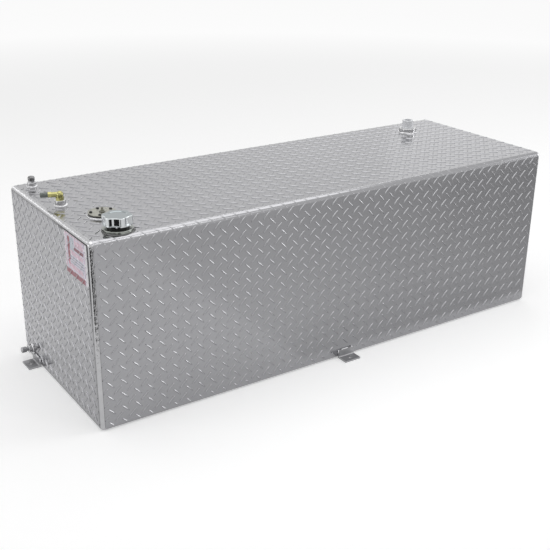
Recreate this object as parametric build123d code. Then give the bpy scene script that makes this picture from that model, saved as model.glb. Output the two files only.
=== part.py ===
from build123d import *
import math
import os

# A rectangular liquid transfer tank of aluminium tread plate, for the bed of a pickup truck.
# The origin is the centre of the base. X runs along the tank, -Y is the front and Z is up.
# All sizes are in millimetres and all angles in degrees.

# Tank shell: one folded sheet, two end plates and the weld beads that close them
tank_length = 1447.8
tank_depth = 508.0
tank_height = 482.6
sheet = 3.175
bend_radius = 12.0
corner_bead = 10.5
bead_toe = 0.4
seam_gap = 2.4
seam_crown = 1.0
seam_from_back = 29.0

# Baffles: flanged plates across the inside
baffle_spacing = 482.0
baffle_flange = 20.0
baffle_notch = 46.0
baffle_hole = 110.0

# Filler: a turned neck welded to the top, and its screw cap
filler_from_left = 91.0
filler_from_front = 44.0
filler_bore = 48.0
neck_outer = 54.4
neck_height = 31.0
neck_drop = 20.0
collar_outer = 72.0
collar_height = 8.0
collar_fillet = 1.5
cap_height = 21.0
cap_outer = 70.6
cap_lip = 2.0
cap_roof = 4.5
cap_scallops = 6
cap_scallop_radius = 40.0
cap_scallop_depth = 4.6
cap_first_scallop = 55.0
cap_scallop_fillet = 3.0
cap_rim_fillet = 1.6
cap_recess = 46.0
cap_recess_depth = 1.2
cap_gasket_thickness = 2.5
thread_room = 1.7

# Fuel level sender: a screwed disc over a welded ring, with a float arm below it
sender_from_left = 106.0
sender_from_front = 163.0
sender_ring_outer = 72.0
sender_ring_height = 3.0
sender_bore = 44.0
sender_gasket_thickness = 2.5
sender_disc = 69.0
sender_disc_thickness = 2.5
sender_disc_fillet = 0.8
sender_screw_circle = 54.0
sender_screws = 5
sender_first_screw = 18.4
sender_screw_shank = 4.4
sender_screw_head = 7.6
sender_screw_head_height = 2.4
sender_screw_head_fillet = 1.2
sender_screw_slot = 4.6
sender_screw_slot_width = 0.9
sender_screw_slot_depth = 1.2
sender_screw_tip_gap = 0.5
terminal_diameter = 4.8
terminal_height = 9.0
terminal_nut = 8.0
terminal_nut_height = 3.2
insulator_outer = 15.0
insulator_thickness = 2.0
stem_width = 12.0
stem_thickness = 2.0
pivot_height = 245.0
resistor_width = 26.0
resistor_depth = 14.0
resistor_height = 44.0
resistor_fillet = 3.0
pivot_pin = 4.0
pin_head = 7.0
pin_head_thickness = 1.5
arm_wire = 3.0
arm_bend = 4.0
arm_hub = 9.0
arm_hub_width = 5.0
arm_hub_bite = 0.6
arm_reach = 290.0
float_diameter = 36.0
float_length = 44.0
float_fillet = 4.0
float_above_floor = 22.4
clip_diameter = 10.0
clip_thickness = 1.2

# Outlet: a welded bung with a draw tube below it and a brass elbow above it
outlet_from_left = 50.0
outlet_from_front = 285.0
outlet_bung_outer = 28.0
outlet_bung_height = 14.0
outlet_bung_fillet = 1.0
outlet_spigot = 22.0
outlet_thread = 16.0
outlet_thread_depth = 11.0
draw_tube_outer = 12.7
draw_tube_wall = 1.2
draw_tube_above_floor = 14.0
draw_tube_entry = 6.0
elbow_hex = 19.0
elbow_hex_height = 6.0
elbow_body = 18.0
elbow_arm = 13.5
elbow_arm_height = 26.8
elbow_arm_reach = 20.0
elbow_arm_heading = 157.0
elbow_bore = 8.4
barb_hex = 12.7
barb_hex_length = 8.0
barb_shank = 8.6
barb_crest = 9.8
barb_bore = 5.6
barb_length = 17.0
barb_spigot = 6.0
barb_ridges = 3
barb_first_ridge = 3.8
barb_ridge_pitch = 4.25
barb_ridge_length = 3.4
dust_cap_outer = 12.6
dust_cap_length = 19.0
dust_cap_fillet = 1.5

# Vent: a roll-over vent, whose loose ball closes it when the tank is on its side
vent_from_left = 46.0
vent_from_back = 37.0
vent_bung_outer = 24.0
vent_bung_height = 11.0
vent_bung_fillet = 1.0
vent_thread = 13.6
vent_hex = 15.0
vent_hex_height = 3.5
vent_stem = 8.0
vent_stem_bore = 4.0
vent_cross_hole = 2.4
vent_cap_outer = 18.0
vent_cap_height = 10.5
vent_cap_gap = 1.2
vent_cap_recess = 5.0
vent_cap_wall = 1.5
vent_cap_fillet = 4.5
vent_cage_depth = 28.0
vent_cage_bore = 11.2
vent_seat_bore = 6.0
vent_seat_thickness = 8.0
vent_ball = 10.0
vent_retainer_thickness = 2.0
vent_retainer_bore = 7.0
vent_retainer_slot = 10.0
vent_retainer_slot_width = 2.0

# Rear bung on top, closed by a white plug
rear_bung_from_right = 175.0
rear_bung_from_back = 106.0
rear_bung_outer = 54.0
rear_bung_height = 14.0
rear_bung_fillet = 2.0
rear_thread = 40.5
rear_plug_head = 35.0
rear_plug_top = 38.0
rear_plug_shoulder = 2.0
rear_plug_wall = 3.0
rear_plug_fillet = 1.2
rear_plug_socket = 23.0

# Drain low on the left end
drain_from_back = 49.0
drain_above_base = 30.0
drain_bung_outer = 24.0
drain_bung_length = 11.0
drain_bung_fillet = 1.2
drain_thread = 16.8
drain_neck = 12.0
drain_neck_length = 6.0
drain_head = 16.4
drain_head_length = 13.0
drain_head_fillet = 2.0

# Hold-down brackets: three pieces of angle
bracket_width = 50.8
bracket_upright = 25.4
bracket_reach = 35.0
bracket_thickness = 4.76
bracket_hole = 11.0
bracket_hole_from_edge = 15.0
bracket_inner_fillet = 3.0
front_bracket_offset = 9.0
end_bracket_from_back = 89.0

# Label on the left end
label_width = 127.0
label_height = 102.8
label_thickness = 0.3
label_from_front = 14.0
label_from_top = 10.8

# Clearances and other small values
hole_clearance = 0.2
thread_clearance = 0.05
screw_clearance = 0.3
pin_clearance = 0.05
side_clearance = 0.3
ball_rest_clearance = 0.03
least_corner = 0.5
cut_margin = 1.0

# Places worked out from the sizes
top = tank_height
left = -tank_length / 2
right = tank_length / 2
front = -tank_depth / 2
back = tank_depth / 2
inner_depth = tank_depth - 2 * sheet
inner_height = tank_height - 2 * sheet
wrap_length = tank_length - 2 * corner_bead
end_depth = tank_depth - 2 * corner_bead
end_height = tank_height - 2 * corner_bead
end_corner = max(bend_radius - corner_bead, least_corner)
inner_corner = max(bend_radius - sheet, least_corner)
ceiling = top - sheet

filler_x = left + filler_from_left
filler_y = front + filler_from_front
neck_top = top + neck_height
cap_roof_bottom = neck_top + cap_gasket_thickness
cap_top = cap_roof_bottom + cap_roof
cap_bottom = cap_top - cap_height

sender_x = left + sender_from_left
sender_y = front + sender_from_front
sender_ring_top = top + sender_ring_height
sender_disc_bottom = sender_ring_top + sender_gasket_thickness
sender_disc_top = sender_disc_bottom + sender_disc_thickness
sender_screw_hole = sender_screw_shank + 2 * screw_clearance
sender_tapped_hole = sender_screw_shank + 2 * thread_clearance
insulator_bush = terminal_diameter + 2 * insulator_thickness
insulator_top = sender_disc_top + insulator_thickness
resistor_front = sender_y + stem_thickness / 2
resistor_back = resistor_front + resistor_depth
hub_near = resistor_back + side_clearance
hub_far = hub_near + arm_hub_width
arm_y = (hub_near + hub_far) / 2
float_far = arm_y - arm_bend - side_clearance
float_near = float_far - float_length
float_low = sheet + float_above_floor + float_diameter / 2
arm_droop = math.asin((pivot_height - float_low) / arm_reach)

outlet_x = left + outlet_from_left
outlet_y = front + outlet_from_front
elbow_hex_bottom = top + outlet_bung_height
elbow_hex_top = elbow_hex_bottom + elbow_hex_height
outlet_thread_bottom = elbow_hex_bottom - outlet_thread_depth
elbow_centre = top + elbow_arm_height
barb_spigot_start = elbow_arm_reach - barb_spigot
barb_hex_end = elbow_arm_reach + barb_hex_length
barb_tip = barb_hex_end + barb_length

vent_x = left + vent_from_left
vent_y = back - vent_from_back
vent_hex_bottom = top + vent_bung_height
vent_hex_top = vent_hex_bottom + vent_hex_height
vent_cap_bottom = vent_hex_top + vent_cap_gap
vent_cap_roof = vent_cap_bottom + vent_cap_recess
vent_seat = ceiling - vent_seat_thickness
vent_cage_bottom = ceiling - vent_cage_depth
vent_retainer_top = vent_cage_bottom + vent_retainer_thickness

rear_x = right - rear_bung_from_right
rear_y = back - rear_bung_from_back
rear_plug_seat = top + rear_bung_height + rear_plug_shoulder
drain_y = back - drain_from_back


def post(diameter, low, high, x, y):
    """An upright round bar between two heights."""
    return Pos(x, y, (low + high) / 2) * Cylinder(diameter / 2, high - low)


def pipe(outer, inner, low, high, x, y):
    """An upright tube between two heights."""
    return post(outer, low, high, x, y) - post(inner, low, high, x, y)


def hexagon(across_flats, low, high, x, y):
    """An upright hexagonal bar between two heights."""
    outline = RegularPolygon(across_flats / 2, 6, major_radius=False)
    return Pos(x, y, low) * extrude(outline, high - low)


def ring_of_points(diameter, count, first_angle):
    """Points spaced evenly round a circle."""
    step = 360 / count
    angles = [math.radians(first_angle + step * i) for i in range(count)]
    return [(diameter / 2 * math.cos(a), diameter / 2 * math.sin(a)) for a in angles]


def screw_places():
    """The centres of the sender's screws."""
    points = ring_of_points(sender_screw_circle, sender_screws, sender_first_screw)
    return [(sender_x + x, sender_y + y) for x, y in points]


def mirrored_end(part):
    """The same piece at the other end of the tank."""
    return mirror(part, Plane.YZ)


# Tank shell

def section(depth, height, radius):
    """The outline of the tank seen from its end, centred on the tank's middle height."""
    return Plane.YZ * Pos(0, tank_height / 2) * RectangleRounded(depth, height, radius)


def make_body_wrap():
    """Front, top, back and bottom are one sheet, folded at four edges. Its seam is underneath."""
    outer = extrude(section(tank_depth, tank_height, bend_radius), wrap_length / 2, both=True)
    inner = extrude(section(inner_depth, inner_height, inner_corner), wrap_length / 2, both=True)
    wrap = outer - inner
    wrap -= Pos(0, back - seam_from_back, sheet / 2) * Box(wrap_length, seam_gap, 2 * sheet)
    holes = [(neck_outer + 2 * hole_clearance, filler_x, filler_y),
             (sender_bore, sender_x, sender_y),
             (outlet_spigot + 2 * hole_clearance, outlet_x, outlet_y),
             (vent_thread + 2 * hole_clearance, vent_x, vent_y),
             (rear_thread, rear_x, rear_y)]
    holes += [(sender_screw_hole, x, y) for x, y in screw_places()]
    for diameter, x, y in holes:
        wrap -= post(diameter, ceiling - cut_margin, top + cut_margin, x, y)
    return wrap


def make_seam_weld():
    """The bead that fills the seam. It is flush below and crowned on the inside."""
    half = seam_gap / 2
    outline = Polyline((-half, sheet), (-half, 0), (half, 0), (half, sheet))
    crown = ThreePointArc((half, sheet), (0, sheet + seam_crown), (-half, sheet))
    bead = Plane.YZ * Pos(back - seam_from_back, 0) * make_face(outline + crown)
    return extrude(bead, wrap_length / 2, both=True)


def make_right_corner_weld():
    """The rounded bead round the right end plate, which also makes the tank's edges there."""
    slab = extrude(section(tank_depth, tank_height, bend_radius), corner_bead)
    slab = Pos(right - corner_bead, 0, 0) * slab
    slab = fillet(slab.edges().group_by(Axis.X)[-1], corner_bead - bead_toe)
    opening = extrude(section(end_depth, end_height, end_corner), corner_bead)
    return slab - Pos(right - corner_bead, 0, 0) * opening


def make_right_end():
    """The flat right end plate."""
    return Pos(right - sheet, 0, 0) * extrude(section(end_depth, end_height, end_corner), sheet)


def make_left_end():
    """The left end plate, with the hole for the drain."""
    hole = Plane.YZ * Pos(drain_y, drain_above_base) * Circle(drain_thread / 2)
    drain_hole = Pos(left - cut_margin, 0, 0) * extrude(hole, sheet + 2 * cut_margin)
    return mirrored_end(make_right_end()) - drain_hole


def make_baffle(x):
    """A plate across the tank with four turned flanges, cut corners and a hole for the liquid."""
    middle = tank_height / 2
    pan = Pos(x + baffle_flange / 2, 0, middle) * Box(baffle_flange, inner_depth, inner_height)
    pan = fillet(pan.edges().group_by(Axis.X)[0], 2 * sheet)
    cavity = Pos(x + sheet + baffle_flange / 2, 0, middle) * Box(
        baffle_flange, inner_depth - 2 * sheet, inner_height - 2 * sheet)
    pan -= fillet(cavity.edges().group_by(Axis.X)[0], sheet)
    notch_side = baffle_notch * math.sqrt(2)
    notch = Rot(45, 0, 0) * Box(3 * baffle_flange, notch_side, notch_side)
    for side in (-1, 1):
        for level in (-1, 1):
            pan -= Pos(x, side * inner_depth / 2, middle + level * inner_height / 2) * notch
    hole = Plane.YZ * Pos(0, middle) * Circle(baffle_hole / 2)
    return pan - Pos(x - cut_margin, 0, 0) * extrude(hole, sheet + 2 * cut_margin)


# Filler

def make_filler_neck():
    """One turned piece: the collar welded to the top, the threaded neck and the tube inside."""
    neck = post(neck_outer, ceiling - neck_drop, neck_top, filler_x, filler_y)
    collar = post(collar_outer, top, top + collar_height, filler_x, filler_y)
    neck += fillet(collar.edges().group_by(Axis.Z)[-1], collar_fillet)
    return neck - post(filler_bore, ceiling - neck_drop, neck_top, filler_x, filler_y)


def make_cap_gasket():
    """The rubber ring between the cap's roof and the neck's rim."""
    return pipe(neck_outer, filler_bore, neck_top, cap_roof_bottom, filler_x, filler_y)


def make_filler_cap():
    """The cast screw cap, scalloped for the hand, with a round lip below and a shallow recess on top."""
    body = Cylinder(cap_outer / 2, cap_height, align=(Align.CENTER, Align.CENTER, Align.MIN))
    reach = cap_outer / 2 - cap_scallop_depth + cap_scallop_radius
    for x, y in ring_of_points(2 * reach, cap_scallops, cap_first_scallop):
        body -= Pos(x, y, cap_height / 2) * Cylinder(cap_scallop_radius, 2 * cap_height)
    body = fillet(body.edges().filter_by(Axis.Z), cap_scallop_fillet)
    body = fillet(body.edges().group_by(Axis.Z)[-1], cap_rim_fillet)
    body += Cylinder(cap_outer / 2, cap_lip, align=(Align.CENTER, Align.CENTER, Align.MIN))
    skirt_bore = neck_outer + 2 * thread_room
    body -= Cylinder(skirt_bore / 2, cap_height - cap_roof, align=(Align.CENTER, Align.CENTER, Align.MIN))
    recess = Cone(cap_recess / 2 - cap_recess_depth, cap_recess / 2, cap_recess_depth)
    body -= Pos(0, 0, cap_height - cap_recess_depth / 2) * recess
    return Pos(filler_x, filler_y, cap_bottom) * body


# Fuel level sender

def make_sender_ring():
    """The tapped ring welded to the top."""
    ring = pipe(sender_ring_outer, sender_bore, top, sender_ring_top, sender_x, sender_y)
    for x, y in screw_places():
        ring -= post(sender_tapped_hole, top, sender_ring_top, x, y)
    return ring


def make_sender_gasket():
    """The rubber ring under the disc."""
    ring = pipe(sender_disc, sender_bore, sender_ring_top, sender_disc_bottom, sender_x, sender_y)
    for x, y in screw_places():
        ring -= post(sender_screw_hole, sender_ring_top, sender_disc_bottom, x, y)
    return ring


def make_sender_disc():
    """The plated steel disc that carries the sender."""
    disc = post(sender_disc, sender_disc_bottom, sender_disc_top, sender_x, sender_y)
    disc = fillet(disc.edges().group_by(Axis.Z)[-1], sender_disc_fillet)
    for x, y in screw_places():
        disc -= post(sender_screw_hole, sender_disc_bottom, sender_disc_top, x, y)
    return disc - post(insulator_bush, sender_disc_bottom, sender_disc_top, sender_x, sender_y)


def make_sender_screws():
    """The pan-head screws, each with a crossed slot."""
    screws = Part()
    tip = ceiling + sender_screw_tip_gap
    slot = Box(sender_screw_slot, sender_screw_slot_width, 2 * sender_screw_slot_depth)
    head_top = sender_disc_top + sender_screw_head_height
    for x, y in screw_places():
        head = post(sender_screw_head, sender_disc_top, head_top, x, y)
        head = fillet(head.edges().group_by(Axis.Z)[-1], sender_screw_head_fillet)
        for angle in (45, 135):
            head -= Pos(x, y, head_top) * Rot(0, 0, angle) * slot
        screws += head + post(sender_screw_shank, tip, sender_disc_top, x, y)
    return screws


def make_terminal_insulator():
    """The shouldered plastic bush that keeps the terminal off the disc."""
    collar = post(insulator_outer, sender_disc_top, insulator_top, sender_x, sender_y)
    body = post(insulator_bush, sender_disc_bottom, sender_disc_top, sender_x, sender_y)
    return collar + body - post(terminal_diameter, sender_disc_bottom, insulator_top, sender_x, sender_y)


def make_sender_terminal():
    """The threaded terminal stud with its nut."""
    stud = post(terminal_diameter, sender_disc_bottom, insulator_top + terminal_height, sender_x, sender_y)
    nut = hexagon(terminal_nut, insulator_top, insulator_top + terminal_nut_height, sender_x, sender_y)
    return stud + nut


def make_sender_stem():
    """The strip that hangs from the disc and carries the resistor box, with a foot under the disc."""
    low = pivot_height - resistor_height / 2
    strip = Pos(sender_x, sender_y, (low + sender_disc_bottom) / 2) * Box(
        stem_width, stem_thickness, sender_disc_bottom - low)
    foot_length = sender_bore / 2 - stem_width / 2 - 2 * side_clearance
    foot = Pos(sender_x, sender_y - foot_length / 2, sender_disc_bottom - stem_thickness / 2) * Box(
        stem_width, foot_length, stem_thickness)
    return strip + foot


def make_resistor_box():
    """The moulded box on the strip, with the hole that holds the pivot pin."""
    box = Pos(sender_x, (resistor_front + resistor_back) / 2, pivot_height) * Box(
        resistor_width, resistor_depth, resistor_height)
    box = fillet(box.edges().filter_by(Axis.Y), resistor_fillet)
    return box - pivot_bar(pivot_pin, resistor_front, resistor_back)


def pivot_bar(diameter, near, far):
    """A bar on the float arm's axis between two depths."""
    return Pos(sender_x, (near + far) / 2, pivot_height) * Rot(90, 0, 0) * Cylinder(diameter / 2, far - near)


def make_pivot_pin():
    """The headed pin that the float arm swings on."""
    head_near = hub_far + side_clearance
    pin = pivot_bar(pivot_pin, resistor_front, head_near)
    return pin + pivot_bar(pin_head, head_near, head_near + pin_head_thickness)


def arm_point(distance):
    """A point on the float arm's line, with the tank empty."""
    across = distance * math.cos(arm_droop)
    down = distance * math.sin(arm_droop)
    return (sender_x + across, arm_y, pivot_height - down)


def float_bar(diameter, near, far):
    """A bar across the end of the float arm between two depths."""
    x, y, z = arm_point(arm_reach)
    return Pos(x, (near + far) / 2, z) * Rot(90, 0, 0) * Cylinder(diameter / 2, far - near)


def make_float_arm():
    """The wire arm with its hub. The wire bends across at its end to carry the float."""
    hub = pivot_bar(arm_hub, hub_near, hub_far) - pivot_bar(pivot_pin + 2 * pin_clearance, hub_near, hub_far)
    start = arm_point(arm_hub / 2 - arm_hub_bite)
    corner = arm_point(arm_reach)
    end = (corner[0], float_near - clip_thickness, corner[2])
    line = FilletPolyline(start, corner, end, radius=arm_bend)
    direction = Vector(*corner) - Vector(*start)
    return hub + sweep(Plane(start, z_dir=direction) * Circle(arm_wire / 2), line)


def make_float():
    """The closed foam float on the end of the arm."""
    body = float_bar(float_diameter, float_near, float_far)
    body = fillet(body.edges(), float_fillet)
    return body - float_bar(arm_wire, float_near, float_far)


def make_float_clip():
    """The push-on clip that keeps the float on the arm."""
    return float_bar(clip_diameter, float_near - clip_thickness, float_near) - float_bar(
        arm_wire, float_near - clip_thickness, float_near)


# Outlet

def make_outlet_bung():
    """The welded bung: tapped above for the elbow, bored below for the draw tube."""
    low = ceiling - draw_tube_entry
    bung = post(outlet_bung_outer, top, elbow_hex_bottom, outlet_x, outlet_y)
    bung = fillet(bung.edges().group_by(Axis.Z)[-1], outlet_bung_fillet)
    bung += post(outlet_spigot, low, top, outlet_x, outlet_y)
    bung -= post(outlet_thread, outlet_thread_bottom, elbow_hex_bottom, outlet_x, outlet_y)
    return bung - post(draw_tube_outer, low, outlet_thread_bottom, outlet_x, outlet_y)


def make_draw_tube():
    """The tube that draws from near the floor. Its foot is cut on a slant so that it can't seal itself."""
    low = sheet + draw_tube_above_floor
    bore = draw_tube_outer - 2 * draw_tube_wall
    tube = pipe(draw_tube_outer, bore, low, outlet_thread_bottom, outlet_x, outlet_y)
    side = draw_tube_outer * math.sqrt(2)
    wedge = Rot(0, 45, 0) * Box(side, 2 * draw_tube_outer, side)
    return tube - Pos(outlet_x + draw_tube_outer / 2, outlet_y, low) * wedge


def bar(diameter, near, far):
    """A round bar along X between two distances."""
    return Pos((near + far) / 2, 0, 0) * Rot(0, 90, 0) * Cylinder(diameter / 2, far - near)


def on_arm(piece):
    """Moves a piece drawn along X on to the elbow's side arm."""
    return Pos(outlet_x, outlet_y, elbow_centre) * Rot(0, 0, elbow_arm_heading) * piece


def make_outlet_elbow():
    """The brass elbow: a threaded spigot, a hexagon, a round corner and a side arm."""
    spigot = outlet_thread - 2 * thread_clearance
    elbow = post(spigot, outlet_thread_bottom, elbow_hex_bottom, outlet_x, outlet_y)
    elbow += hexagon(elbow_hex, elbow_hex_bottom, elbow_hex_top, outlet_x, outlet_y)
    elbow += post(elbow_body, elbow_hex_top, elbow_centre, outlet_x, outlet_y)
    elbow += on_arm(Sphere(elbow_body / 2) + bar(elbow_arm, 0, elbow_arm_reach))
    elbow -= post(elbow_bore, outlet_thread_bottom, elbow_centre, outlet_x, outlet_y)
    return elbow - on_arm(bar(elbow_bore, 0, elbow_arm_reach))


def make_hose_barb():
    """The brass hose barb: a spigot in the elbow, a hexagon and ridges for the hose."""
    outline = RegularPolygon(barb_hex / 2, 6, major_radius=False)
    barb = bar(elbow_bore, barb_spigot_start, elbow_arm_reach)
    barb += Pos(elbow_arm_reach, 0, 0) * Rot(0, 90, 0) * extrude(outline, barb_hex_length)
    barb += bar(barb_shank, barb_hex_end, barb_tip)
    ridge = Rot(0, 90, 0) * Cone(barb_crest / 2, barb_shank / 2, barb_ridge_length)
    for i in range(barb_ridges):
        near = barb_hex_end + barb_first_ridge + barb_ridge_pitch * i
        barb += Pos(near + barb_ridge_length / 2, 0, 0) * ridge
    return on_arm(barb - bar(barb_bore, barb_spigot_start, barb_tip))


def make_dust_cap():
    """The soft cap pushed over the barb."""
    cap = bar(dust_cap_outer, barb_hex_end, barb_hex_end + dust_cap_length)
    cap = fillet(cap.edges().group_by(Axis.X)[-1], dust_cap_fillet)
    return on_arm(cap - bar(barb_crest, barb_hex_end, barb_tip))


# Vent

def make_vent_bung():
    """The small welded bung under the vent."""
    bung = pipe(vent_bung_outer, vent_thread, top, vent_hex_bottom, vent_x, vent_y)
    return fillet(bung.edges().group_by(Axis.Z)[-1].sort_by(SortBy.RADIUS)[-1:], vent_bung_fillet)


def make_vent_body():
    """The vent's body: a cage below the top for the ball, a seat above it, a hexagon and a stem.
    A hole across the stem lets the air out under the cap."""
    outer = vent_thread - 2 * thread_clearance
    body = post(outer, vent_cage_bottom, vent_hex_bottom, vent_x, vent_y)
    body += hexagon(vent_hex, vent_hex_bottom, vent_hex_top, vent_x, vent_y)
    body += post(vent_stem, vent_hex_top, vent_cap_roof, vent_x, vent_y)
    body -= post(vent_cage_bore, vent_cage_bottom, vent_seat, vent_x, vent_y)
    body -= post(vent_seat_bore, vent_seat, vent_hex_top, vent_x, vent_y)
    body -= post(vent_stem_bore, vent_hex_top, vent_cap_roof, vent_x, vent_y)
    cross = Rot(0, 90, 0) * Cylinder(vent_cross_hole / 2, 2 * vent_stem)
    return body - Pos(vent_x, vent_y, vent_cap_roof - vent_cross_hole) * cross


def make_vent_retainer():
    """The ring pressed into the cage's foot, which the ball rests on. Its slots let air past the ball."""
    ring = pipe(vent_cage_bore, vent_retainer_bore, vent_cage_bottom, vent_retainer_top, vent_x, vent_y)
    middle = (vent_cage_bottom + vent_retainer_top) / 2
    slot = Box(vent_retainer_slot, vent_retainer_slot_width, 2 * vent_retainer_thickness)
    return ring - Pos(vent_x, vent_y, middle) * (slot + Rot(0, 0, 90) * slot)


def make_vent_ball():
    """The loose steel ball. It rests on the rim of the retainer's hole."""
    rise = math.sqrt((vent_ball / 2) ** 2 - (vent_retainer_bore / 2) ** 2)
    return Pos(vent_x, vent_y, vent_retainer_top + rise + ball_rest_clearance) * Sphere(vent_ball / 2)


def make_vent_cap():
    """The rounded cap over the stem. Air passes under its rim."""
    cap = post(vent_cap_outer, vent_cap_bottom, vent_cap_bottom + vent_cap_height, vent_x, vent_y)
    cap = fillet(cap.edges().group_by(Axis.Z)[-1], vent_cap_fillet)
    return cap - post(vent_cap_outer - 2 * vent_cap_wall, vent_cap_bottom, vent_cap_roof, vent_x, vent_y)


# Rear bung

def make_rear_bung():
    """The large welded bung at the back right of the top."""
    bung = pipe(rear_bung_outer, rear_thread, top, top + rear_bung_height, rear_x, rear_y)
    return fillet(bung.edges().group_by(Axis.Z)[-1].sort_by(SortBy.RADIUS)[-1:], rear_bung_fillet)


def make_rear_plug():
    """The moulded plug: a hollow threaded skirt and a tall round head with a hexagonal socket."""
    skirt = rear_thread - 2 * thread_clearance
    head_top = top + rear_plug_top
    plug = post(skirt, ceiling, rear_plug_seat, rear_x, rear_y)
    plug += post(rear_plug_head, rear_plug_seat, head_top, rear_x, rear_y)
    plug = fillet(plug.edges().group_by(Axis.Z)[-1], rear_plug_fillet)
    hollow = skirt - 2 * rear_plug_wall
    plug -= post(hollow, ceiling, rear_plug_seat - rear_plug_wall, rear_x, rear_y)
    return plug - hexagon(rear_plug_socket, rear_plug_seat + rear_plug_wall, head_top, rear_x, rear_y)


# Drain

def drain_bar(diameter, near, far):
    """A bar on the drain's axis between two distances out from the left end."""
    return Pos(left, drain_y, drain_above_base) * Rot(0, 0, 180) * bar(diameter, near, far)


def make_drain_bung():
    """The tapped bung welded to the left end."""
    bung = drain_bar(drain_bung_outer, 0, drain_bung_length)
    bung = fillet(bung.edges().group_by(Axis.X)[0], drain_bung_fillet)
    return bung - drain_bar(drain_thread, 0, drain_bung_length)


def make_drain_plug():
    """The plug in the drain: a threaded spigot, a neck and a round head to grip."""
    neck_end = drain_bung_length + drain_neck_length
    plug = drain_bar(drain_thread - 2 * thread_clearance, -sheet, drain_bung_length)
    plug += drain_bar(drain_neck, drain_bung_length, neck_end)
    head = drain_bar(drain_head, neck_end, neck_end + drain_head_length)
    return plug + fillet(head.edges().group_by(Axis.X)[0], drain_head_fillet)


# Brackets and label

def make_bracket():
    """A piece of angle. Its heel is at the origin, its upright faces +Y and its foot reaches to -Y."""
    upright = Pos(0, -bracket_thickness / 2, bracket_upright / 2) * Box(
        bracket_width, bracket_thickness, bracket_upright)
    foot = Pos(0, -bracket_reach / 2, bracket_thickness / 2) * Box(
        bracket_width, bracket_reach, bracket_thickness)
    angle = upright + foot
    inner = angle.edges().filter_by(Axis.X).sort_by_distance((0, -bracket_thickness, bracket_thickness))[0:1]
    angle = fillet(inner, bracket_inner_fillet)
    hole_y = -bracket_reach + bracket_hole_from_edge
    return angle - post(bracket_hole, -cut_margin, bracket_thickness + cut_margin, 0, hole_y)


def make_front_bracket():
    """The bracket in the middle of the front."""
    return Pos(front_bracket_offset, front, 0) * make_bracket()


def make_right_bracket():
    """The bracket on the right end, near the back."""
    return Pos(right, back - end_bracket_from_back, 0) * Rot(0, 0, 90) * make_bracket()


def make_label():
    """The printed vinyl label on the left end."""
    y = front + label_from_front + label_width / 2
    z = top - label_from_top - label_height / 2
    return Pos(left - label_thickness / 2, y, z) * Box(label_thickness, label_width, label_height)


parts = {
    "body_wrap": make_body_wrap(),
    "seam_weld": make_seam_weld(),
    "left_end": make_left_end(),
    "right_end": make_right_end(),
    "left_corner_weld": mirrored_end(make_right_corner_weld()),
    "right_corner_weld": make_right_corner_weld(),
    "left_baffle": make_baffle(-baffle_spacing / 2),
    "right_baffle": make_baffle(baffle_spacing / 2),
    "filler_neck": make_filler_neck(),
    "cap_gasket": make_cap_gasket(),
    "filler_cap": make_filler_cap(),
    "sender_ring": make_sender_ring(),
    "sender_gasket": make_sender_gasket(),
    "sender_disc": make_sender_disc(),
    "sender_screws": make_sender_screws(),
    "terminal_insulator": make_terminal_insulator(),
    "sender_terminal": make_sender_terminal(),
    "sender_stem": make_sender_stem(),
    "resistor_box": make_resistor_box(),
    "pivot_pin": make_pivot_pin(),
    "float_arm": make_float_arm(),
    "float": make_float(),
    "float_clip": make_float_clip(),
    "outlet_bung": make_outlet_bung(),
    "draw_tube": make_draw_tube(),
    "outlet_elbow": make_outlet_elbow(),
    "hose_barb": make_hose_barb(),
    "dust_cap": make_dust_cap(),
    "vent_bung": make_vent_bung(),
    "vent_body": make_vent_body(),
    "vent_retainer": make_vent_retainer(),
    "vent_ball": make_vent_ball(),
    "vent_cap": make_vent_cap(),
    "rear_bung": make_rear_bung(),
    "rear_plug": make_rear_plug(),
    "drain_bung": make_drain_bung(),
    "drain_plug": make_drain_plug(),
    "front_bracket": make_front_bracket(),
    "left_bracket": mirrored_end(make_right_bracket()),
    "right_bracket": make_right_bracket(),
    "label": make_label(),
}

os.makedirs("parts", exist_ok=True)
for name, part in parts.items():
    export_step(part, f"parts/{name}.step")
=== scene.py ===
import bpy
import bmesh
import math
from mathutils import Matrix, Vector


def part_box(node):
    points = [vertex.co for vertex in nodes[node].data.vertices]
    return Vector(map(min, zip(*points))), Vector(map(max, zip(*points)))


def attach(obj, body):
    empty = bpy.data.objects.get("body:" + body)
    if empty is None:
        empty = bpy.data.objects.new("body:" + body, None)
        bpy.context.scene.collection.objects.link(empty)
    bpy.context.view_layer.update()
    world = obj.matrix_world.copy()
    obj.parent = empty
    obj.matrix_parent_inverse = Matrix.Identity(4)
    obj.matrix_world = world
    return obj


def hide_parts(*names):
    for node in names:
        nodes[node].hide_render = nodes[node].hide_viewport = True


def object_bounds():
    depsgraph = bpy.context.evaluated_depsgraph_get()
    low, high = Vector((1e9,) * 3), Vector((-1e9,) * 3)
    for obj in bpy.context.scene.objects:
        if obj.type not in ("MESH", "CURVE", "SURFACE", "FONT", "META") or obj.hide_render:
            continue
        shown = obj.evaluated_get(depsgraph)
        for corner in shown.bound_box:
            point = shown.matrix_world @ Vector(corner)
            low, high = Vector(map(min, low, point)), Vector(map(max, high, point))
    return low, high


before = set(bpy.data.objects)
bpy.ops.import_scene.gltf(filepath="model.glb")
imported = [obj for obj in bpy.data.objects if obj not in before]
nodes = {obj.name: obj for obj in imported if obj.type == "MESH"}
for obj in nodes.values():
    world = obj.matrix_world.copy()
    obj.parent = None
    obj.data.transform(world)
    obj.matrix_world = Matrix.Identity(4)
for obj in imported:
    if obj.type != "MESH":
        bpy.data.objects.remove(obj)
cad_low, cad_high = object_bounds()
bpy.ops.object.select_all(action="DESELECT")


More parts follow.
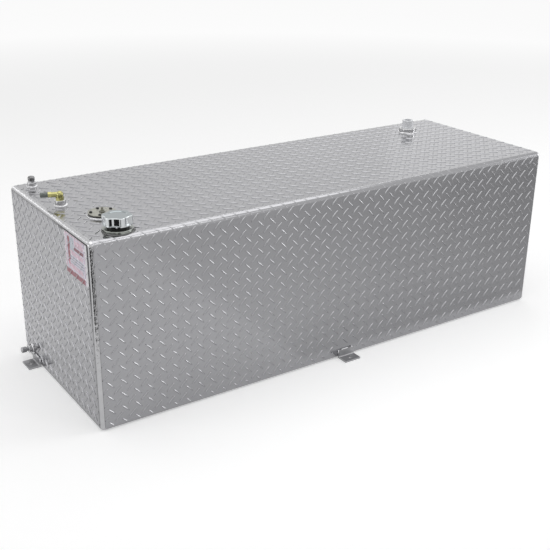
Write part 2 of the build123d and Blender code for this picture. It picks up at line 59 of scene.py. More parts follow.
# The sheet that makes the front, top, back and bottom of the tank.
# It is rolled tread plate of bright aluminium, folded at its four long edges.
def ramp(tree, value, before, after):
    """Spreads a value from one range over another, and holds it there."""
    spread = tree.nodes.new("ShaderNodeMapRange")
    for end, start in (("From", before), ("To", after)):
        spread.inputs[end + " Min"].default_value = start[0]
        spread.inputs[end + " Max"].default_value = start[1]
    tree.links.new(value, spread.inputs["Value"])
    return spread.outputs["Result"]


def finish(name, colour, metallic, roughness, cloud=0.06, cloud_scale=9.0, grain=0.04, grain_scale=900.0,
           grain_depth=0.0004):
    """A surface whose colour and gloss drift a little, with a fine grain."""
    material = bpy.data.materials.new(name)
    material.use_nodes = True
    tree = material.node_tree
    shader = tree.nodes["Principled BSDF"]
    shader.inputs["Metallic"].default_value = metallic
    place = tree.nodes.new("ShaderNodeTexCoord")
    drift = tree.nodes.new("ShaderNodeTexNoise")
    drift.inputs["Scale"].default_value = cloud_scale
    drift.inputs["Detail"].default_value = 5.0
    tree.links.new(place.outputs["Object"], drift.inputs["Vector"])
    tone = tree.nodes.new("ShaderNodeMix")
    tone.data_type = "RGBA"
    tone.inputs["A"].default_value = [c * (1 - cloud) for c in colour] + [1.0]
    tone.inputs["B"].default_value = [min(c * (1 + cloud), 1.0) for c in colour] + [1.0]
    tree.links.new(drift.outputs["Fac"], tone.inputs["Factor"])
    tree.links.new(tone.outputs["Result"], shader.inputs["Base Color"])
    gloss = ramp(tree, drift.outputs["Fac"], (0.3, 0.7), (roughness * 0.85, roughness * 1.15))
    tree.links.new(gloss, shader.inputs["Roughness"])
    speck = tree.nodes.new("ShaderNodeTexNoise")
    speck.inputs["Scale"].default_value = grain_scale
    speck.inputs["Detail"].default_value = 3.0
    tree.links.new(place.outputs["Object"], speck.inputs["Vector"])
    bump = tree.nodes.new("ShaderNodeBump")
    bump.inputs["Strength"].default_value = grain
    bump.inputs["Distance"].default_value = grain_depth
    tree.links.new(speck.outputs["Fac"], bump.inputs["Height"])
    tree.links.new(bump.outputs["Normal"], shader.inputs["Normal"])
    return material


def dress(node, material):
    """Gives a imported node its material."""
    slots = nodes[node].data.materials
    slots.clear()
    slots.append(material)


tread_plate = finish("tread_plate", (0.335, 0.335, 0.347), 1.0, 0.15, cloud=0.05, cloud_scale=6.0, grain=0.12)
dress("body_wrap", tread_plate)

# The rolled lugs of the sheet. Each is a slim raised grain, laid both ways at half pitch.
# They run on over the front and back folds of the top, flattened there, and none lie under a fitting.
lug_pitch_along = 0.035
lug_pitch_up = 0.036
lug_length = 0.030
lug_width = 0.0080
lug_height = 0.0018
lug_sink = 0.0002
lug_sides = 12
fitting_room = 0.0075
bracket_room = 0.012
first_lug_x = -0.6945
first_lug_z = 0.4445

wrap_low, wrap_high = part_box("body_wrap")
bend = 0.012
fold_flatten = 0.4
front_flat = wrap_high.z - wrap_low.z - 2 * bend
top_flat = wrap_high.y - wrap_low.y - 2 * bend
arc = bend * math.pi / 2
top_start = front_flat + arc
back_start = top_start + top_flat + arc


def make_lug(angle):
    """One lug at the origin, turned by an angle: a closed lens with steep sides and a rounded crest."""
    bpy.ops.mesh.primitive_circle_add(vertices=lug_sides, radius=1, fill_type="NGON",
                                      location=(0, 0, -lug_sink))
    lug = bpy.context.object
    for reach, narrower in ((0.8, 0.55), (0.4, 0.88)):
        for vert in lug.data.vertices:
            vert.select = reach < abs(vert.co.x) < reach + 0.15
        bpy.ops.object.mode_set(mode="EDIT")
        bpy.ops.transform.resize(value=(1, narrower, 1))
        bpy.ops.object.mode_set(mode="OBJECT")
    bpy.ops.object.mode_set(mode="EDIT")
    bpy.ops.mesh.select_all(action="SELECT")
    bpy.ops.transform.resize(value=(lug_length / 2, lug_width / 2, 1))
    for rise, along, across in ((0.58, 0.93, 0.72), (0.29, 0.92, 0.55), (0.13, 0.92, 0.36)):
        step = (0, 0, rise * (lug_height + lug_sink))
        bpy.ops.mesh.extrude_region_move(TRANSFORM_OT_translate={"value": step})
        bpy.ops.transform.resize(value=(along, across, 1))
    bpy.ops.mesh.select_all(action="SELECT")
    bpy.ops.mesh.normals_make_consistent(inside=False)
    bpy.ops.object.mode_set(mode="OBJECT")
    lug.rotation_euler[2] = angle
    bpy.ops.object.transform_apply(location=True, rotation=True, scale=True)
    return lug


def repeat(piece, columns, rows):
    """Fills a field with copies of a piece, by two arrays."""
    bpy.context.view_layer.objects.active = piece
    for count, step in ((columns, (lug_pitch_along, 0, 0)), (rows, (0, lug_pitch_up, 0))):
        array = piece.modifiers.new("array", "ARRAY")
        array.use_relative_offset = False
        array.use_constant_offset = True
        array.constant_offset_displace = step
        array.count = count
        bpy.ops.object.modifier_apply(modifier=array.name)


def joined(pieces, name):
    """Makes one piece of several."""
    bpy.ops.object.select_all(action="DESELECT")
    for piece in pieces:
        piece.select_set(True)
    bpy.context.view_layer.objects.active = pieces[0]
    bpy.ops.object.join()
    whole = bpy.context.object
    whole.name = name
    return whole


def lug_field(name, origin, width, height):
    """A flat field of lugs, as wide and high as given. One lug of the first kind sits at the given origin."""
    pieces = []
    start_x = origin[0] % lug_pitch_along - lug_pitch_along
    start_y = origin[1] % lug_pitch_up - lug_pitch_up
    columns = math.ceil(width / lug_pitch_along) + 2
    rows = math.ceil(height / lug_pitch_up) + 2
    for angle, shift in ((-math.radians(45), 0), (math.radians(45), 0.5)):
        lug = make_lug(angle)
        lug.location = (start_x + shift * lug_pitch_along, start_y + shift * lug_pitch_up, 0)
        bpy.ops.object.transform_apply(location=True, rotation=True, scale=True)
        repeat(lug, columns, rows)
        pieces.append(lug)
    field = joined(pieces, name)
    bpy.ops.object.mode_set(mode="EDIT")
    for point, normal in (((0, 0, 0), (-1, 0, 0)), ((width, 0, 0), (1, 0, 0)),
                          ((0, 0, 0), (0, -1, 0)), ((0, height, 0), (0, 1, 0))):
        bpy.ops.mesh.select_all(action="SELECT")
        bpy.ops.mesh.bisect(plane_co=point, plane_no=normal, clear_outer=True, use_fill=True)
    bpy.ops.mesh.select_all(action="DESELECT")
    bpy.ops.object.mode_set(mode="OBJECT")
    return field


def clear_lugs(field, keep_out):
    """Takes away each lug whose middle lies in a kept-out round or square place of the field."""
    mesh = bmesh.new()
    mesh.from_mesh(field.data)
    seen = set()
    doomed = []
    for first in mesh.verts:
        if first in seen:
            continue
        island, edge = [first], [first]
        seen.add(first)
        while edge:
            for link in edge.pop().link_edges:
                for vert in link.verts:
                    if vert not in seen:
                        seen.add(vert)
                        island.append(vert)
                        edge.append(vert)
        x = sum(v.co.x for v in island) / len(island)
        y = sum(v.co.y for v in island) / len(island)
        if any(place(x, y) for place in keep_out):
            doomed += island
    bmesh.ops.delete(mesh, geom=doomed, context="VERTS")
    mesh.to_mesh(field.data)
    mesh.free()


def disc(x, y, radius):
    """A round kept-out place."""
    return lambda a, b: math.hypot(a - x, b - y) < radius


def patch(x0, y0, x1, y1):
    """A square kept-out place."""
    return lambda a, b: x0 < a < x1 and y0 < b < y1


def on_sheet(u, v, h):
    """The folded place of a point of the flat sheet. v runs up the front, over the top and down the back."""
    x = wrap_low.x + u
    if v < front_flat:
        return (x, wrap_low.y - h, wrap_low.z + bend + v)
    if v < top_start:
        turn = (v - front_flat) / bend
        reach = bend + h * fold_flatten
        return (x, wrap_low.y + bend - reach * math.cos(turn), wrap_high.z - bend + reach * math.sin(turn))
    if v < top_start + top_flat:
        return (x, wrap_low.y + bend + v - top_start, wrap_high.z + h)
    if v < back_start:
        turn = (v - top_start - top_flat) / bend
        reach = bend + h * fold_flatten
        return (x, wrap_high.y - bend + reach * math.sin(turn), wrap_high.z - bend + reach * math.cos(turn))
    return (x, wrap_high.y + h, wrap_high.z - bend - (v - back_start))


def lay(field, fold):
    """Lays a flat field of lugs on its sheet and finishes it as a piece."""
    for vert in field.data.vertices:
        vert.co = fold(*vert.co)
    bpy.ops.object.select_all(action="DESELECT")
    field.select_set(True)
    bpy.context.view_layer.objects.active = field
    bpy.ops.object.mode_set(mode="EDIT")
    bpy.ops.mesh.select_all(action="SELECT")
    bpy.ops.mesh.normals_make_consistent(inside=False)
    bpy.ops.object.mode_set(mode="OBJECT")
    bpy.ops.object.shade_smooth_by_angle(angle=math.radians(60))
    field.data.materials.append(tread_plate)
    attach(field, "tank")


def round_place(node):
    """The kept-out place round a fitting on the top, on the flat sheet."""
    low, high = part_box(node)
    centre = (low + high) / 2
    radius = (high.x - low.x) / 2 + fitting_room
    return disc(centre.x - wrap_low.x, centre.y - wrap_low.y - bend + top_start, radius)


bracket_low, bracket_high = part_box("front_bracket")
on_top = [round_place(node)
          for node in ("filler_neck", "sender_ring", "outlet_bung", "vent_bung", "rear_bung")]
on_front = [patch(bracket_low.x - wrap_low.x - bracket_room, -1, bracket_high.x - wrap_low.x + bracket_room,
                  bracket_high.z - wrap_low.z - bend + bracket_room)]
front_end = front_flat + arc / 2
top_end = back_start - arc / 2
for name, start, end in (("front_lugs", 0, front_end), ("top_lugs", front_end, top_end),
                         ("back_lugs", top_end, back_start + front_flat)):
    first = (first_lug_x - wrap_low.x, first_lug_z - wrap_low.z - bend - start)
    field = lug_field(name, first, wrap_high.x - wrap_low.x, end - start)
    for vert in field.data.vertices:
        vert.co.y += start
    clear_lugs(field, on_top + on_front)
    lay(field, on_sheet)

# The two end plates, cut from the same tread plate and set in between the ends of the folded sheet.
# Their lugs stop short of the beads. The left end carries the drain, a bracket and the label.
dress("right_end", tread_plate)
end_low, end_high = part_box("left_end")
right_low, right_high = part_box("right_end")
end_edge = 0.001
end_room = 0.008
end_lug_y = 0.234
end_lug_z = 0.0296
end_width = end_high.y - end_low.y - 2 * end_edge
end_height = end_high.z - end_low.z - 2 * end_edge


def on_left_end(u, v, h):
    """The place of a point of the left end, seen from outside: u runs to the front."""
    return (end_low.x - h, end_high.y - end_edge - u, end_low.z + end_edge + v)


def on_right_end(u, v, h):
    """The place of a point of the right end, seen from outside: u runs to the back."""
    return (right_high.x + h, right_low.y + end_edge + u, right_low.z + end_edge + v)


drain_low, drain_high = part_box("drain_bung")
drain = (drain_low + drain_high) / 2
end_bracket_low, end_bracket_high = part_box("left_bracket")
for name, fold, start_y, side in (("left_end_lugs", on_left_end, end_high.y - end_edge, -1),
                                  ("right_end_lugs", on_right_end, right_low.y + end_edge, 1)):
    first = (end_high.y - end_edge - end_lug_y, end_lug_z - end_low.z - end_edge)
    field = lug_field(name, first, end_width, end_height)
    sides = [side * (y - start_y) for y in (end_bracket_low.y, end_bracket_high.y)]
    keep_out = [patch(min(sides) - end_room, -1, max(sides) + end_room,
                      end_bracket_high.z - end_low.z + end_room)]
    if side < 0:
        keep_out.append(disc(start_y - drain.y, drain.z - end_low.z - end_edge,
                             drain_high.z - drain.z + end_room))
    clear_lugs(field, keep_out)
    lay(field, fold)

# The welds that join the ends to the sheet and close the sheet underneath.
# They are bright, rounded beads laid by hand and brushed, with a dark line painted along their toes as the
# shade in the grooves beside them.
weld_metal = finish("weld_metal", (0.58, 0.58, 0.59), 1.0, 0.16, cloud=0.6, cloud_scale=90.0, grain=0.25,
                    grain_scale=260.0)
dress("seam_weld", weld_metal)
corner_weld = finish("corner_weld", (0.46, 0.46, 0.47), 1.0, 0.14, cloud=0.08, cloud_scale=60.0, grain=0.7,
                     grain_scale=110.0, grain_depth=0.0016)
toe_inside = 0.0045
toe_outside = 0.0032
toe_fade = (0.12, 0.22)
sheet_line = 0.0014


def sums(tree, kind, *values):
    """One sum of numbers and sockets."""
    node = tree.nodes.new("ShaderNodeMath")
    node.operation = kind
    for socket, value in zip(node.inputs, values):
        if isinstance(value, float):
            socket.default_value = value
        else:
            tree.links.new(value, socket)
    return node.outputs[0]


def point_axes(tree):
    """The X, Y and Z of a point of the piece."""
    place = tree.nodes.new("ShaderNodeTexCoord")
    axes = tree.nodes.new("ShaderNodeSeparateXYZ")
    tree.links.new(place.outputs["Object"], axes.inputs["Vector"])
    return axes.outputs["X"], axes.outputs["Y"], axes.outputs["Z"]


def tint(material, amount, colour):
    """Mixes a plain colour into a finish by an amount from nought to one."""
    tree = material.node_tree
    shader = tree.nodes["Principled BSDF"]
    mix = tree.nodes.new("ShaderNodeMix")
    mix.data_type = "RGBA"
    tree.links.new(amount, mix.inputs["Factor"])
    tree.links.new(shader.inputs["Base Color"].links[0].from_socket, mix.inputs["A"])
    mix.inputs["B"].default_value = colour + (1,)
    tree.links.new(mix.outputs["Result"], shader.inputs["Base Color"])


def paint_toe_shade(material, faint):
    """Paints shade into the joints of bead, end plate and sheet: faintly all round, fully near the front top
    corner.
    """
    tree = material.node_tree
    x, y, z = point_axes(tree)
    middle_height = (end_low.z + end_high.z) / 2
    half_height = end_high.z - middle_height
    past_side = sums(tree, "SUBTRACT", sums(tree, "ABSOLUTE", y), end_high.y)
    from_middle = sums(tree, "ABSOLUTE", sums(tree, "SUBTRACT", z, middle_height))
    past_plate = sums(tree, "MAXIMUM", past_side, sums(tree, "SUBTRACT", from_middle, half_height))
    on_toe = sums(tree, "MULTIPLY", sums(tree, "LESS_THAN", past_plate, toe_outside),
                  sums(tree, "GREATER_THAN", past_plate, -toe_inside))
    along = sums(tree, "ABSOLUTE", x)
    at_face = sums(tree, "GREATER_THAN", along, abs(end_low.x) - toe_outside)
    place = tree.nodes.new("ShaderNodeTexCoord")
    away = tree.nodes.new("ShaderNodeVectorMath")
    away.operation = "DISTANCE"
    tree.links.new(place.outputs["Object"], away.inputs[0])
    away.inputs[1].default_value = (end_low.x, end_low.y, end_high.z)
    strong = ramp(tree, away.outputs["Value"], toe_fade, (1.0, faint))
    at_toe = sums(tree, "MULTIPLY", sums(tree, "MULTIPLY", on_toe, at_face), strong)
    at_sheet = sums(tree, "LESS_THAN", along, wrap_high.x + sheet_line)
    upright = sums(tree, "LESS_THAN", from_middle, half_height)
    at_joint = sums(tree, "MULTIPLY", sums(tree, "MULTIPLY", at_sheet, upright), faint)
    tint(material, sums(tree, "MAXIMUM", at_toe, at_joint), (0.02, 0.02, 0.022))


# The beads get the painted shade along their toes, darkest near the front top corner.
paint_toe_shade(corner_weld, 0.6)
dress("left_corner_weld", corner_weld)
dress("right_corner_weld", corner_weld)

# The left end plate is the sheet's metal, with painted shade along its joints with the beads.
end_plate = tread_plate.copy()
end_plate.name = "end_plate"
paint_toe_shade(end_plate, 0.2)
dress("left_end", end_plate)

# The two baffles across the inside, of smooth sheet with rolled flanges and round holes.
# They are only seen when the tank is cut open, so they stay as they are.
plain_aluminium = finish("plain_aluminium", (0.36, 0.36, 0.37), 1.0, 0.35, cloud=0.08, cloud_scale=14.0)
dress("left_baffle", plain_aluminium)
dress("right_baffle", plain_aluminium)

# The filler neck, turned from bar with a wide collar and welded on top of the tank.
# Its outside carries a coarse thread of two turns for the cap. Neck and thread are painted darker than turned
# metal as the shade under the cap, and near black above the collar.
turned_aluminium = finish("turned_aluminium", (0.50, 0.50, 0.505), 1.0, 0.16, cloud=0.05, cloud_scale=20.0,
                          grain=0.08)
shaded_neck_metal = finish("shaded_neck_metal", (0.27, 0.285, 0.265), 1.0, 0.2, cloud=0.15, cloud_scale=60.0, grain=0.1)
dress("filler_neck", shaded_neck_metal)
neck_low, neck_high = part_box("filler_neck")
neck = (neck_low + neck_high) / 2
sheet_top = wrap_high.z
collar_height = 0.008
# Painted shade: above the collar the neck is near black, where the cap shades it.
tree = shaded_neck_metal.node_tree
above_collar = sums(tree, "GREATER_THAN", point_axes(tree)[2], sheet_top + collar_height)
tint(shaded_neck_metal, above_collar, (0.03, 0.03, 0.03))
bead_steps = 4
bead_sides = 8
ripple_pitch = 0.0032
ripple_swell = 0.13
pause_swell = 0.32


def weld_ring(name, centre, radius, bead, lie=(0, 0, 0), metal=weld_metal):
    """A rippled bead round a fitting, half sunk in the plate, and thick in three places."""
    ripples = round(2 * math.pi * radius / ripple_pitch)
    bpy.ops.mesh.primitive_torus_add(major_segments=ripples * bead_steps, minor_segments=bead_sides,
                                     major_radius=radius, minor_radius=bead, align="WORLD",
                                     location=(0, 0, 0))
    ring = bpy.context.object
    ring.name = name
    for vert in ring.data.vertices:
        turn = math.atan2(vert.co.y, vert.co.x)
        core = Vector((math.cos(turn), math.sin(turn), 0)) * radius
        lean = 0.9 * math.sin(turn * 3 + radius * 900) + turn * ripples
        swell = 0.88 + ripple_swell * math.cos(lean) + pause_swell * math.cos(3 * turn + 1.2)
        vert.co = core + (vert.co - core) * swell
    ring.rotation_euler = lie
    ring.location = centre
    bpy.ops.object.transform_apply(location=True, rotation=True, scale=True)
    bpy.ops.object.shade_smooth()
    ring.data.materials.append(metal)
    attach(ring, "tank")


def weld_on_top(name, node, bead, spare, metal=weld_metal):
    """The bead round a fitting that stands on the top of the tank."""
    low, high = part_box(node)
    middle = (low + high) / 2
    weld_ring(name, (middle.x, middle.y, sheet_top), (high.x - low.x) / 2 + spare, bead, metal=metal)


# The bead round the filler neck is painted near black, as the shade at the foot of the collar under the cap.
shaded_weld = finish("shaded_weld", (0.12, 0.12, 0.12), 1.0, 0.3, cloud=0.9, cloud_scale=70.0, grain=0.25,
                    grain_scale=260.0)
weld_on_top("filler_weld", "filler_neck", bead=0.0026, spare=0.0006, metal=shaded_weld)

thread_pitch = 0.005
thread_root = 0.0271
thread_root_width = 0.0024
thread_crest = 0.0284
thread_crest_width = 0.0007
thread_turns = 2.25
thread_steps = 108
thread_below_rim = 0.0145
bpy.ops.mesh.primitive_plane_add(size=1, location=(0, 0, 0), rotation=(math.pi / 2, 0, 0))
thread = bpy.context.object
thread.name = "neck_thread"
bpy.ops.object.transform_apply(location=True, rotation=True, scale=True)
for vert in thread.data.vertices:
    outer = vert.co.x > 0
    vert.co.x = thread_crest if outer else thread_root
    vert.co.z *= thread_crest_width if outer else thread_root_width
bpy.ops.object.mode_set(mode="EDIT")
bpy.ops.mesh.select_all(action="SELECT")
bpy.ops.mesh.delete(type="ONLY_FACE")
bpy.ops.object.mode_set(mode="OBJECT")
winding = thread.modifiers.new("winding", "SCREW")
winding.angle = 2 * math.pi * thread_turns
winding.screw_offset = thread_pitch * thread_turns
winding.steps = thread_steps
winding.render_steps = thread_steps
bpy.ops.object.modifier_apply(modifier=winding.name)
bpy.ops.object.mode_set(mode="EDIT")
bpy.ops.mesh.select_all(action="SELECT")
bpy.ops.mesh.fill_holes(sides=4)
bpy.ops.mesh.select_all(action="SELECT")
bpy.ops.mesh.normals_make_consistent(inside=False)
bpy.ops.object.mode_set(mode="OBJECT")
thread.location = (neck.x, neck.y, neck_high.z - thread_below_rim)
bpy.ops.object.transform_apply(location=True, rotation=True, scale=True)
bpy.ops.object.shade_smooth_by_angle(angle=math.radians(35))
thread.data.materials.append(shaded_neck_metal)
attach(thread, "tank")

# The filler cap, a zinc casting plated with chrome, with six scallops for the fingers. Its flat top and
# recess are painted a darker teal grey, as the darker reflection they show.
# A soft black ring inside it seals on the rim of the neck.
black_rubber = finish("black_rubber", (0.02, 0.02, 0.021), 0.0, 0.6)
dress("cap_gasket", black_rubber)
chrome = finish("chrome", (0.56, 0.58, 0.59), 1.0, 0.05, cloud=0.03, cloud_scale=12.0, grain=0.02)
cap_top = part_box("filler_cap")[1].z
rim_width = 0.0016
recess_radius = 0.0235
tree = chrome.node_tree
x, y, z = point_axes(tree)
flat_top = sums(tree, "GREATER_THAN", z, cap_top - 0.0002)
near_top = sums(tree, "GREATER_THAN", z, cap_top - rim_width)
from_neck = [sums(tree, "SUBTRACT", x, neck.x), sums(tree, "SUBTRACT", y, neck.y)]
squares = [sums(tree, "MULTIPLY", side, side) for side in from_neck]
radius = sums(tree, "SQRT", sums(tree, "ADD", squares[0], squares[1]))
in_recess = sums(tree, "MULTIPLY", sums(tree, "LESS_THAN", radius, recess_radius), near_top)
# Painted reflection: the flat top and the recess get a darker teal grey.
tint(chrome, sums(tree, "MAXIMUM", flat_top, in_recess), (0.30, 0.33, 0.34))
dress("filler_cap", chrome)

# The level sender: a plated steel disc on a rubber ring, held by five black screws on a welded ring.
# A stud in a plastic bush takes the wire of the gauge. A strip, a box and a float arm hang below it.
dress("sender_ring", turned_aluminium)
dress("sender_gasket", black_rubber)
yellow_zinc = finish("yellow_zinc", (0.275, 0.272, 0.235), 1.0, 0.28, cloud=0.3, cloud_scale=70.0)
dress("sender_disc", yellow_zinc)
dress("sender_terminal", yellow_zinc)
black_steel = finish("black_steel", (0.03, 0.03, 0.03), 0.7, 0.4)
dress("sender_screws", black_steel)
black_plastic = finish("black_plastic", (0.03, 0.03, 0.031), 0.0, 0.5)
natural_plastic = finish("natural_plastic", (0.24, 0.24, 0.21), 0.0, 0.45)
dress("terminal_insulator", natural_plastic)
dress("resistor_box", black_plastic)
bright_steel = finish("bright_steel", (0.48, 0.48, 0.49), 1.0, 0.25)
for node in ("sender_stem", "pivot_pin", "float_arm", "float_clip"):
    dress(node, bright_steel)
foam = finish("foam", (0.06, 0.055, 0.05), 0.0, 0.85, cloud=0.2, cloud_scale=60.0, grain=0.6,
              grain_scale=1400.0)
dress("float", foam)
weld_on_top("sender_weld", "sender_ring", bead=0.0022, spare=0.0006)

# The outlet: a welded bung with a tube down to the floor, and a brass elbow with a hose barb.
# A soft grey cap keeps the barb clean.
dress("outlet_bung", turned_aluminium)
dress("draw_tube", plain_aluminium)
brass = finish("brass", (0.34, 0.32, 0.14), 1.0, 0.1, cloud=0.3, cloud_scale=90.0)
dress("outlet_elbow", brass)
dress("hose_barb", brass)
grey_rubber = finish("grey_rubber", (0.15, 0.165, 0.155), 0.0, 0.4)
dress("dust_cap", grey_rubber)
weld_on_top("outlet_weld", "outlet_bung", bead=0.0028, spare=0.0008)

# The vent at the back left corner: a welded bung and a dark plated valve with a domed cap.
# A loose steel ball in it shuts the vent when the tank rolls over.
dress("vent_bung", turned_aluminium)
dull_zinc = finish("dull_zinc", (0.17, 0.17, 0.172), 1.0, 0.2, cloud=0.3, cloud_scale=90.0)
bright_zinc = finish("bright_zinc", (0.34, 0.34, 0.35), 1.0, 0.2, cloud=0.15, cloud_scale=90.0)
dress("vent_body", bright_zinc)
dress("vent_cap", dull_zinc)
dress("vent_retainer", bright_steel)
dress("vent_ball", bright_steel)
weld_on_top("vent_weld", "vent_bung", bead=0.0028, spare=0.0008)

# The large bung at the back right with its pale plastic plug, and the drain low on the left end.
# Both bungs are welded, and both plugs are screwed in.
dress("rear_bung", turned_aluminium)
white_plastic = finish("white_plastic", (0.78, 0.79, 0.81), 0.0, 0.35, cloud=0.03)
dress("rear_plug", white_plastic)
weld_on_top("rear_weld", "rear_bung", bead=0.003, spare=0.0008)
dress("drain_bung", turned_aluminium)
dress("drain_plug", bright_zinc)
weld_ring("drain_weld", (end_low.x, drain.y, drain.z), drain_high.z - drain.z + 0.0008, bead=0.0028,
          lie=(0, math.pi / 2, 0))

# The three hold-down brackets, short lengths of rolled aluminium angle with one bolt hole each.
# Each is tacked on with short beads along its top and one at the side.
for node in ("front_bracket", "left_bracket", "right_bracket"):
    dress(node, plain_aluminium)
run_step = 0.0016
run_bead = 0.0030
run_ripple = (1.2, 0.94, 0.887)


def weld_run(length):
    """One short rippled bead at the origin, lying along X with its back half in the plate."""
    bpy.ops.mesh.primitive_circle_add(vertices=bead_sides, radius=run_bead * 0.45, fill_type="NGON",
                                      location=(-length / 2, 0, 0), rotation=(0, math.pi / 2, 0))
    run = bpy.context.object
    bpy.ops.object.transform_apply(location=True, rotation=True, scale=True)
    bpy.ops.object.mode_set(mode="EDIT")
    steps = round(length / run_step)
    for k in range(steps):
        grow = 1.8 if k == 0 else 0.5 if k == steps - 1 else run_ripple[k % 3]
        bpy.ops.mesh.extrude_region_move(TRANSFORM_OT_translate={"value": (run_step, 0, 0)})
        bpy.ops.transform.resize(value=(1, grow, grow))
    bpy.ops.mesh.select_all(action="SELECT")
    bpy.ops.mesh.normals_make_consistent(inside=False)
    bpy.ops.object.mode_set(mode="OBJECT")
    bpy.ops.object.shade_smooth()
    return run


def tack(name, node, face, along):
    """Three beads on one bracket: two on top and an upright one at the side."""
    low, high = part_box(node)
    mid = (low + high) / 2
    half = (high.x - low.x) / 2 if along == "x" else (high.y - low.y) / 2
    runs = []
    for length, offset, height, upright in ((0.022, -0.006, high.z, False), (0.0065, 0.019, high.z, False),
                                            (0.010, -half - 0.001, high.z - 0.005, True)):
        run = weld_run(length)
        if upright:
            run.rotation_euler = (0, math.pi / 2, 0)
        elif along == "y":
            run.rotation_euler = (0, 0, math.pi / 2)
        run.location = (mid.x + offset, face, height) if along == "x" else (face, mid.y + offset, height)
        bpy.ops.object.transform_apply(location=True, rotation=True, scale=True)
        runs.append(run)
    tacked = joined(runs, name)
    tacked.data.materials.append(weld_metal)
    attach(tacked, "tank")


bracket_plate = 0.00476
tack("front_tacks", "front_bracket", wrap_low.y - bracket_plate / 2, "x")
tack("left_tacks", "left_bracket", end_low.x - bracket_plate / 2, "y")
tack("right_tacks", "right_bracket", right_high.x + bracket_plate / 2, "y")

# The label on the left end: a printed vinyl film that drapes over the lugs under it.
# It is printed in plain fields of colour: pink and lilac with red and slate bars.
label_low, label_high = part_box("label")
film_lift = 0.0003
film_cell = 0.0015
bpy.ops.mesh.primitive_grid_add(x_subdivisions=round((label_high.z - label_low.z) / film_cell),
                                y_subdivisions=round((label_high.y - label_low.y) / film_cell), size=1,
                                location=(end_low.x - 0.004, (label_low.y + label_high.y) / 2,
                                          (label_low.z + label_high.z) / 2), rotation=(0, -math.pi / 2, 0))
film = bpy.context.object
film.name = "label_film"
film.scale = (label_high.z - label_low.z, label_high.y - label_low.y, 1)
bpy.ops.object.transform_apply(location=True, rotation=True, scale=True)
drape = film.modifiers.new("drape", "SHRINKWRAP")
drape.wrap_method = "PROJECT"
drape.use_project_x = True
drape.use_positive_direction = True
drape.use_negative_direction = False
drape.target = nodes["left_end"]
drape.auxiliary_target = bpy.data.objects["left_end_lugs"]
drape.offset = film_lift
soften = film.modifiers.new("soften", "SMOOTH")
soften.iterations = 2
body = film.modifiers.new("body", "SOLIDIFY")
body.thickness = 0.00015
body.offset = -1
for modifier in (drape, soften, body):
    bpy.ops.object.modifier_apply(modifier=modifier.name)
bpy.ops.object.shade_smooth_by_angle(angle=math.radians(60))

label_vinyl = finish("label_vinyl", (0.80, 0.78, 0.82), 0.0, 0.22, cloud=0.02)
tree = label_vinyl.node_tree
x, y, z = point_axes(tree)


def inside(value, low, high):
    """One where a value lies between two limits, else nought."""
    return sums(tree, "COMPARE", value, (low + high) / 2, (high - low) / 2)


pink = (0.72, 0.50, 0.60)
pale_lilac = (0.66, 0.62, 0.72)
pale_blue = (0.50, 0.55, 0.62)
lilac = (0.52, 0.42, 0.58)
slate = (0.33, 0.37, 0.44)
maroon = (0.20, 0.035, 0.06)
rose = (0.62, 0.25, 0.34)
red = (0.27, 0.035, 0.065)
for y0, y1, z0, z1, colour in (
        (-0.226, -0.116, 0.366, 0.471, pink),
        (-0.222, -0.120, 0.3835, 0.468, pale_lilac),
        (-0.166, -0.143, 0.424, 0.465, pale_blue),
        (-0.219, -0.169, 0.449, 0.465, pink),
        (-0.219, -0.168, 0.4375, 0.446, maroon),
        (-0.219, -0.144, 0.423, 0.4335, pink),
        (-0.219, -0.144, 0.416, 0.4185, slate),
        (-0.219, -0.144, 0.4095, 0.412, slate),
        (-0.219, -0.144, 0.403, 0.4055, slate),
        (-0.214, -0.130, 0.388, 0.399, pink),
        (-0.142, -0.129, 0.407, 0.464, red),
        (-0.138, -0.129, 0.394, 0.407, rose),
        (-0.225, -0.222, 0.366, 0.471, lilac),
        (-0.2215, -0.109, 0.3695, 0.3822, red)):
    tint(label_vinyl, sums(tree, "MULTIPLY", inside(y, y0, y1), inside(z, z0, z1)), colour)
dress("label", label_vinyl)
film.data.materials.append(label_vinyl)
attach(film, "tank")
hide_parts("label")

# The studio: a white floor and a white room, with one large soft light overhead and smaller ones round about.
# The small lights draw the bright lines in the folds and lugs. Mats on the floor darken what the metal shows.
def shown_white(tree, strength):
    """A strength of light: one for plain surfaces, and one that the camera, mirrors and glass see."""
    rays = tree.nodes.new("ShaderNodeLightPath")
    total = rays.outputs["Is Camera Ray"]
    for kind in ("Is Glossy Ray", "Is Transmission Ray"):
        total = sums(tree, "ADD", total, rays.outputs[kind])
    return ramp(tree, total, (0.0, 1.0), strength)


def flat_paint(name, colour):
    """A paint with no shine at all."""
    paint = bpy.data.materials.new(name)
    paint.use_nodes = True
    shader = paint.node_tree.nodes["Principled BSDF"]
    shader.inputs["Base Color"].default_value = colour + (1,)
    shader.inputs["Roughness"].default_value = 0.9
    shader.inputs["Specular IOR Level"].default_value = 0.0
    return paint, paint.node_tree, shader


bpy.ops.mesh.primitive_plane_add(size=60, location=(0, 0, cad_low.z))
floor = bpy.context.object
floor.name = "floor"
floor_paint, tree, shader = flat_paint("floor_paint", (0.9, 0.9, 0.9))
place = tree.nodes.new("ShaderNodeTexCoord")
reach = tree.nodes.new("ShaderNodeVectorMath")
reach.operation = "LENGTH"
tree.links.new(place.outputs["Object"], reach.inputs[0])
far = ramp(tree, reach.outputs["Value"], (1.2, 6.0), (0.34, 0.70))
lift = sums(tree, "MULTIPLY", shown_white(tree, (0.0, 1.0)), far)
shader.inputs["Emission Color"].default_value = (1, 1, 1, 1)
tree.links.new(lift, shader.inputs["Emission Strength"])
floor.data.materials.append(floor_paint)

world = bpy.data.worlds.new("studio")
world.use_nodes = True
bpy.context.scene.world = world
tree = world.node_tree
tree.nodes["Background"].inputs["Color"].default_value = (1, 1, 1, 1)
tree.links.new(shown_white(tree, (0.28, 1.0)), tree.nodes["Background"].inputs["Strength"])


